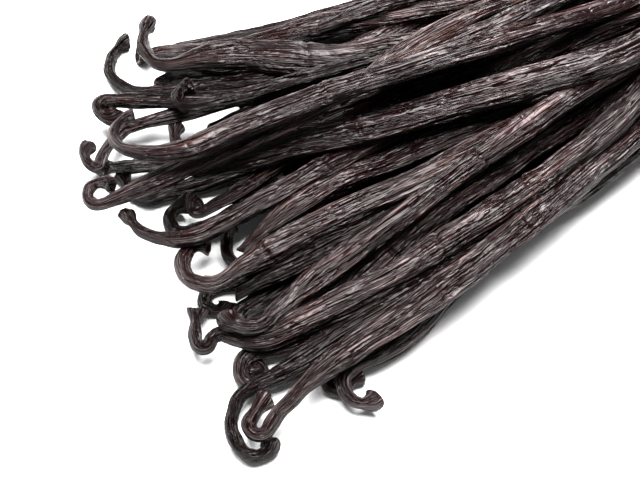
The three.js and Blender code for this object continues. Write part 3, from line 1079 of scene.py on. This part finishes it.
@dataclass(frozen=True)
class CuredSkin:
    """Cured vanilla skin: sweated, sun-dried and conditioned until it is near black.

    The oil that comes to the surface gives the eye a satin sheen. The grey on its ridges is
    partly the skin's own bloom and partly painted sheen, and the black in the creases, pressed
    wrinkles and undersides is painted shade. Thin skin shows red brown, and the woody stem is
    dry and duller. The real fibres are finer than the picture shows, so they are drawn about
    twice as coarse.
    """

    name: str = "cured vanilla skin"
    # Colours
    # crease is the colour of painted shade: creases, pressed wrinkles, undersides and the darkest
    # pods go toward it
    crease: str = "#0e0203"
    dark: str = "#160607"
    middle: str = "#36191a"
    # grey is partly the skin's own bloom and partly painted sheen
    grey: str = "#685b5c"
    warm: str = "#432517"
    stem: str = "#110707"
    scar: str = "#5e4f45"
    sheen: str = "#fff8f7"
    # Patterns
    lines: Creases = Creases(Grain(0.7, 20.0), Span(0.0, 0.14))
    fibres: Creases = Creases(Grain(0.42, 6.0), Span(0.0, 0.17))
    nicks: Creases = Creases(Grain(0.9, 3.6), Span(0.0, 0.12))
    bald: Grain = Grain(1.7, 6.0)
    streak: Grain = Grain(0.8, 15.0, 2.0)
    patch: Grain = Grain(7.0, 24.0, 2.0)
    blush: Grain = Grain(4.9, 33.6, 3.0)
    speck: Grain = Grain(0.7, 2.4, 1.0)
    # Where each colour starts and is full
    bald_span: Span = Span(0.53, 0.66)
    lit_span: Span = Span(0.36, 0.66)
    red_span: Span = Span(0.62, 0.98)
    bloom_and_sheen_span: Span = Span(0.3, 0.85)
    bloom_and_sheen_flake_span: Span = Span(0.56, 0.8)
    dried_span: Span = Span(0.3, 0.7)
    dark_tone_and_shade_span: Span = Span(0.1, -0.8)  # of the pod's tone; darker pods go toward the crease colour, partly their own dark skin and partly painted shade for pods low in the heap or under others
    open_span: Span = Span(0.05, 0.8)  # over which the painted shade of creases, pressed wrinkles and undersides fades out
    warmth_pull: float = 0.45
    tone_pull: float = 0.35
    speck_pull: float = 0.3
    fibre_painted_shade: float = 0.55
    # Sheen
    bend_light: float = 1.32  # index of refraction, which sets how strong the sheen is
    oily: float = 0.17
    dry: float = 0.36
    gloomy: float = 0.42  # a dark pod's roughness instead of dry
    oil_span: Span = Span(0.3, 0.7)
    # Relief
    bump_mm: float = 0.42
    fibre_rise: float = 0.45
    nick_rise: float = 0.16
    speck_rise: float = 0.2
    stem_speck_rise: float = 0.5

    def read(self, tree: bpy.types.NodeTree, name: str) -> Sequence[Any]:
        """The three parts of an attribute of the pod's mesh, and the attribute whole."""
        found = add_node(tree, "ShaderNodeAttribute", {}, attribute_name=name).outputs["Vector"]
        return (*add_node(tree, "ShaderNodeSeparateXYZ", {0: found}).outputs, found)

    def build(self) -> bpy.types.Material:
        """Makes the material."""
        made, tree, surface = new_material(self.name)
        skin = self.read(tree, "skin")[-1]
        clear_of_painted_shade, woody, scar, _ = self.read(tree, "look")
        tone, warmth, _, _ = self.read(tree, "pod")
        patterns = {
            "lines": self.lines, "fibres": self.fibres, "nicks": self.nicks, "bald": self.bald,
            "streak": self.streak, "patch": self.patch, "blush": self.blush, "speck": self.speck,
        }
        drawn = {name: pattern.build(tree, skin) for name, pattern in patterns.items()}
        bald = add_node(tree, MAP_RANGE, {"Value": drawn["bald"], **self.bald_span.inputs})
        drawn["fibres"] = add_node(tree, MATH, {0: drawn["fibres"], 1: bald}, operation="MAXIMUM")
        # Darker tones draw the colour toward the crease colour: partly the pod's own dark skin,
        # partly painted shade for pods low in the heap or under others
        dark_tone_and_shade = add_node(tree, MAP_RANGE, {"Value": tone, **self.dark_tone_and_shade_span.inputs})
        pod = {
            "clear_of_painted_shade": clear_of_painted_shade, "woody": woody, "scar": scar,
            "tone": tone, "warmth": warmth, "dark_tone_and_shade": dark_tone_and_shade,
        }
        tree.links.new(self.coloured(tree, drawn, pod), surface.inputs["Base Color"])
        ends = {"To Min": self.oily, "To Max": self.dry}
        dull = add_node(tree, MAP_RANGE, {"Value": drawn["patch"], **self.oil_span.inputs, **ends})
        rough = add_node(tree, MATH, {0: dark_tone_and_shade, 1: self.gloomy - self.dry, 2: dull}, operation=SUM)
        tree.links.new(rough.outputs[0], surface.inputs["Roughness"])
        surface.inputs["IOR"].default_value = self.bend_light
        surface.inputs["Specular Tint"].default_value = linear(self.sheen)
        tree.links.new(self.raised(tree, drawn, woody), surface.inputs["Normal"])
        return made

    def coloured(
        self, tree: bpy.types.NodeTree, drawn: dict[str, Any], pod: dict[str, Any]
    ) -> Any:
        """The colour of the skin, from its dark ground up to the bloom and painted sheen on its
        ridges, with painted shade in its creases, pressed wrinkles and undersides.

        Args:
            tree: the material's node tree.
            drawn: the patterns by name.
            pod: what the mesh tells of the pod, by name.

        Returns:
            The socket that gives the colour.
        """
        streak = drawn["streak"]
        warm = {0: pod["warmth"], 1: self.warmth_pull, 2: drawn["blush"]}
        warm = add_node(tree, MATH, warm, operation=SUM)
        # Grey bloom and painted sheen, greyer for higher tones and broken into flakes
        bloom_and_painted_sheen = {0: pod["tone"], 1: self.tone_pull, 2: drawn["patch"]}
        bloom_and_painted_sheen = add_node(tree, MATH, bloom_and_painted_sheen, operation=SUM)
        bloom_and_painted_sheen = add_node(tree, MAP_RANGE, {"Value": bloom_and_painted_sheen, **self.bloom_and_sheen_span.inputs})
        bloom_and_sheen_flakes = {0: drawn["speck"], 1: self.speck_pull, 2: streak}
        bloom_and_sheen_flakes = add_node(tree, MATH, bloom_and_sheen_flakes, operation=SUM)
        bloom_and_sheen_flakes = add_node(tree, MAP_RANGE, {"Value": bloom_and_sheen_flakes, **self.bloom_and_sheen_flake_span.inputs})
        dried = add_node(tree, MAP_RANGE, {"Value": streak, **self.dried_span.inputs})
        layers = (
            (add_node(tree, MAP_RANGE, {"Value": streak, **self.lit_span.inputs}), self.middle),
            (add_node(tree, MAP_RANGE, {"Value": warm, **self.red_span.inputs}), self.warm),
            (add_node(tree, MATH, {0: pod["woody"], 1: dried}, operation="MULTIPLY"), self.stem),
            (add_node(tree, MATH, {0: bloom_and_painted_sheen, 1: bloom_and_sheen_flakes}, operation="MULTIPLY"), self.grey),
            (pod["dark_tone_and_shade"], self.crease),
            (pod["scar"], self.scar),
        )
        colour: Any = linear(self.dark)
        for share, shade in layers:
            colour = add_node(tree, MIX, {0: share, 6: colour, 7: linear(shade)}, data_type="RGBA")
        # Painted shade in the fine creases and between the fibres, from the same patterns as the
        # bump
        fine = {0: drawn["fibres"], 1: self.fibre_painted_shade, 2: 1 - self.fibre_painted_shade}
        fine = add_node(tree, MATH, fine, operation=SUM)
        fine = add_node(tree, MATH, {0: drawn["lines"], 1: fine}, operation="MULTIPLY")
        # Painted shade: the colour goes to the crease colour in creases, pressed wrinkles, fine
        # creases and on the underside
        clear_of_painted_shade = add_node(tree, MAP_RANGE, {"Value": pod["clear_of_painted_shade"], **self.open_span.inputs})
        bare = add_node(tree, MATH, {0: clear_of_painted_shade, 1: fine}, operation="MULTIPLY")
        whole = {0: bare, 6: linear(self.crease), 7: colour}
        return add_node(tree, MIX, whole, data_type="RGBA").outputs[2]

    def raised(self, tree: bpy.types.NodeTree, drawn: dict[str, Any], woody: Any) -> Any:
        """The relief that is too fine for the mesh.

        Args:
            tree: the material's node tree.
            drawn: the patterns by name.
            woody: the socket that is 1 on the stem.

        Returns:
            The socket that gives the normal.
        """
        rough = {0: woody, 1: self.stem_speck_rise, 2: self.speck_rise}
        rough = add_node(tree, MATH, rough, operation=SUM)
        rise = drawn["lines"]
        heights = {"fibres": self.fibre_rise, "nicks": self.nick_rise, "speck": rough}
        for name, height in heights.items():
            rise = add_node(tree, MATH, {0: drawn[name], 1: height, 2: rise}, operation=SUM)
        bump = {"Height": rise, "Strength": 1.0, "Distance": self.bump_mm * MM}
        return add_node(tree, "ShaderNodeBump", bump).outputs["Normal"]


# The same skin for the darkest pods, partly their own black skin and partly painted shade for pods
# low in the heap: darker crease and stem colours, less sheen but in small sharp glints
DARKEST_AND_SHADED_SKIN = CuredSkin(
    name="darkest and shaded vanilla skin, black with small glints", crease="#080303",
    stem="#0a0505", bend_light=1.23, oily=0.1, dry=0.24, gloomy=0.26,
)


@dataclass(frozen=True)
class HeapShade:
    """The inside of the heap, painted shade: a flat black-brown without sheen, so that the gaps
    between pods read as deep shadow."""

    name: str = "painted shade deep in the heap"
    shade: str = "#0c0505"
    roughness: float = 1.0
    shine: float = 0.0

    def build(self) -> bpy.types.Material:
        """Makes the material."""
        made, _, surface = new_material(self.name)
        surface.inputs["Base Color"].default_value = linear(self.shade)
        surface.inputs["Roughness"].default_value = self.roughness
        surface.inputs["Specular IOR Level"].default_value = self.shine
        return made


@dataclass(frozen=True)
class TableWhite(HeapShade):
    """A matte white table top, which gives the eye soft contact shadows and no gloss."""

    name: str = "matte white table top"
    shade: str = "#fbfbfb"
    roughness: float = 0.9
    shine: float = 0.1


def add_piece(mesh: bpy.types.Mesh, name: str, finish: bpy.types.Material) -> bpy.types.Object:
    """Puts a finished mesh in the scene as one piece of the bundle.

    Args:
        mesh: the mesh, with its place in its vertices.
        name: what the piece is called.
        finish: its material.

    Returns:
        The piece.
    """
    mesh.materials.append(finish)
    mesh.shade_smooth()
    piece = bpy.data.objects.new(name, mesh)
    bpy.context.collection.objects.link(piece)
    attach(piece, BODY)
    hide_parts(NODE)
    log.info("%s: %d faces", name, len(mesh.polygons))
    return piece


@dataclass
class PodLayer:
    """The pods of one layer of the heap, joined into a piece for each finish."""

    layer: Layer
    skin: PodSkin
    noise: SkinNoise
    finish: bpy.types.Material
    dark_and_shaded_finish: bpy.types.Material
    dark_below: float = -0.55  # the tone from which a pod takes the darker finish, partly painted shade
    shown: PodBlank = field(default_factory=lambda: PodBlank(96, 108))
    sunk: PodBlank = field(default_factory=lambda: PodBlank(28, 60))

    def build(self, laid: Sequence[Lie]) -> None:
        """Models every pod of the layer and dresses them.

        Args:
            laid: all the pods as they lie.
        """
        here = [(seed, lie) for seed, lie in enumerate(laid) if lie.pod.layer is self.layer]
        dark = [(seed, lie) for seed, lie in here if lie.pod.tone < self.dark_below]
        light = [(seed, lie) for seed, lie in here if lie.pod.tone >= self.dark_below]
        if light:
            self.join(light, self.layer.value, self.finish)
        if dark:
            self.join(dark, f"{self.layer.value}_dark", self.dark_and_shaded_finish)

    def join(
        self, pods: Sequence[tuple[int, Lie]], name: str, finish: bpy.types.Material
    ) -> bpy.types.Object:
        """Models some pods as one piece.

        Args:
            pods: the place of each in the heap, and how it lies.
            name: what the piece is called.
            finish: its material.

        Returns:
            The piece.
        """
        mesh = bpy.data.meshes.new(name)
        joined = bmesh.new()
        found: dict[str, list[np.ndarray]] = {"place": [], "skin": [], "look": [], "pod": []}
        for seed, lie in pods:
            blank = self.sunk if lie.pod.sunk else self.shown
            bar = bpy.data.meshes.new("bar")
            made = blank.build()
            made.to_mesh(bar)
            made.free()
            row, side = blank.places(bar)
            shape = self.skin.shape(lie, blank.rows, blank.sides, self.noise, seed)
            for told, values in shape.items():
                found[told].append(values[row, side])
            joined.from_mesh(bar)
            bpy.data.meshes.remove(bar)
        joined.to_mesh(mesh)
        joined.free()
        place = (np.concatenate(found.pop("place")) - (*MIDDLE, 0)) * MM
        mesh.vertices.foreach_set("co", place.astype(np.float32).ravel())
        for told, values in found.items():
            kept = mesh.attributes.new(told, "FLOAT_VECTOR", "POINT")
            kept.data.foreach_set("vector", np.concatenate(values).astype(np.float32).ravel())
        mesh.update()
        return add_piece(mesh, name, finish)


@dataclass
class HeapCore:
    """The inside of the heap: a dark mass of painted shade whose top follows the pods that cover
    it.
    """

    finish: bpy.types.Material
    start: float = 2.0
    stop: float = 130.0
    cuts: int = 34
    near_inset: int = 2  # pods left outside it at the near side
    far_inset: int = 3  # and at the far side
    look: float = 5.0  # mm around in which it stays under the lowest cover
    fill: float = 0.5  # its height as a share of that cover
    least_height: float = 1.0

    def crossing(self, laid: Sequence[Lie], x: float) -> list[tuple[float, float, float]]:
        """The pods that a cut across the bundle meets.

        Args:
            laid: all the pods as they lie.
            x: where the cut is, in mm along the bundle.

        Returns:
            The place across, the height and the half width of each, from near to far.
        """
        met = []
        for lie in laid:
            run = lie.plan[:, 0]
            share = (x - run[:-1]) / np.where(run[1:] == run[:-1], 1e-9, run[1:] - run[:-1])
            for i in np.nonzero((share >= 0) & (share < 1))[0]:
                across = lie.plan[i, 1] + share[i] * (lie.plan[i + 1, 1] - lie.plan[i, 1])
                height = lie.height[i] + share[i] * (lie.height[i + 1] - lie.height[i])
                met.append((float(across), float(height), float(lie.half[i])))
        return sorted(met)

    def build(self, laid: Sequence[Lie]) -> bpy.types.Object:
        """Models the core and dresses it.

        Args:
            laid: all the pods as they lie.

        Returns:
            The piece.
        """
        block = bmesh.new()
        bmesh.ops.create_cube(block, size=1.0)
        bmesh.ops.subdivide_edges(
            block, edges=block.edges[:], cuts=self.cuts, use_grid_fill=True
        )
        known: dict[float, list[list[tuple[float, float, float]]]] = {}
        for vertex in block.verts:
            x = self.start + (vertex.co.x + 0.5) * (self.stop - self.start)
            key = round(x, 3)
            if key not in known:
                known[key] = [self.crossing(laid, x + off) for off in (-self.look, 0, self.look)]
            cuts = known[key]
            low = max(met[self.near_inset][0] for met in cuts)
            high = min(met[-1 - self.far_inset][0] for met in cuts)
            y = low + (vertex.co.y + 0.5) * (high - low)
            tops = [
                max([z for across, z, half in met if abs(across - y - off) < half], default=0)
                for met in cuts
                for off in (-self.look, 0, self.look)
            ]
            top = max(self.least_height, min(tops) * self.fill)
            vertex.co = Vector((x - MIDDLE[0], y - MIDDLE[1], (vertex.co.z + 0.5) * top)) * MM
        mesh = bpy.data.meshes.new("core_of_the_heap")
        block.to_mesh(mesh)
        block.free()
        return add_piece(mesh, "core_of_the_heap", self.finish)


@dataclass(frozen=True)
class SoftLight:
    """A square soft light that faces the bundle."""

    name: str
    place: tuple[float, float, float]  # in metres
    size: float  # its side, in metres
    power: float  # in watts

    def build(self) -> None:
        """Hangs the light."""
        lamp = bpy.data.lights.new(self.name, "AREA")
        lamp.size = self.size
        lamp.energy = self.power
        made = bpy.data.objects.new(self.name, lamp)
        bpy.context.collection.objects.link(made)
        made.location = self.place
        made.rotation_euler = (-Vector(self.place)).to_track_quat("-Z", "Y").to_euler()


@dataclass
class Studio:
    """The plain pale floor, soft studio light and camera."""

    floor_size: float = 3.0
    sky: float = 0.2
    # A broad softbox overhead, and a small one that picks out the oil
    lights: tuple[SoftLight, ...] = (
        SoftLight("softbox overhead", (0.14, 0.3, 0.95), 0.85, 56.0),
        SoftLight("small light behind", (0.48, 0.6, 0.8), 0.3, 13.0),
    )
    clip: tuple[float, float] = (0.01, 20.0)  # metres from the camera that it sees
    lens: float = 70.0
    sensor: float = 36.0
    azimuth: float = -30.0
    elevation: float = 60.0
    distance: float = 366.0  # mm to the floor in the middle of the picture

    def build_floor(self) -> None:
        """A matte white table top under the bundle."""
        sheet = bmesh.new()
        bmesh.ops.create_grid(sheet, x_segments=1, y_segments=1, size=self.floor_size / 2)
        mesh = bpy.data.meshes.new("table_top")
        sheet.to_mesh(mesh)
        sheet.free()
        mesh.materials.append(TableWhite().build())
        floor = bpy.data.objects.new("table_top", mesh)
        bpy.context.collection.objects.link(floor)

    def build_light(self) -> None:
        """A dim white room with its soft lights."""
        scene = bpy.context.scene
        world = bpy.data.worlds.new("white room")
        scene.world = world
        world.use_nodes = True
        world.node_tree.nodes["Background"].inputs["Strength"].default_value = self.sky
        world.node_tree.nodes["Background"].inputs["Color"].default_value = (1, 1, 1, 1)
        for light in self.lights:
            light.build()
        scene.view_settings.view_transform = "Standard"

    def build_camera(self) -> None:
        """The camera at the photograph's viewing angle."""
        turn, rise = math.radians(self.azimuth), math.radians(self.elevation)
        ahead = Vector(
            (-math.sin(turn) * math.cos(rise), math.cos(turn) * math.cos(rise), -math.sin(rise))
        )
        right = Vector((math.cos(turn), math.sin(turn), 0))
        lens = bpy.data.cameras.new("camera")
        lens.lens = self.lens
        lens.sensor_width = self.sensor
        lens.clip_start, lens.clip_end = self.clip
        camera = bpy.data.objects.new("camera", lens)
        bpy.context.collection.objects.link(camera)
        columns = (right, right.cross(ahead), -ahead)
        camera.matrix_world = Matrix.Translation(
            (-ahead * self.distance - Vector((*MIDDLE, 0))) * MM
        ) @ Matrix(columns).transposed().to_4x4()
        bpy.context.scene.camera = camera


def main() -> None:
    """Builds the bundle, its floor, light and camera."""
    logging.basicConfig(level=logging.INFO, format="%(name)s: %(message)s")
    heap = Heap()
    laid = heap.lay_down()
    all_laid = [*laid, *(heap.lay(pod, []) for pod in IN_THE_GAPS)]
    log.info("%d pods laid down", len(all_laid))
    skin, noise, finish = PodSkin(), SkinNoise(7), CuredSkin().build()
    dark_and_shaded_finish = DARKEST_AND_SHADED_SKIN.build()
    for layer in Layer:
        PodLayer(layer, skin, noise, finish, dark_and_shaded_finish).build(all_laid)
    HeapCore(HeapShade().build()).build(laid)
    studio = Studio()
    studio.build_floor()
    studio.build_light()
    studio.build_camera()


if __name__ == "__main__":
    main()
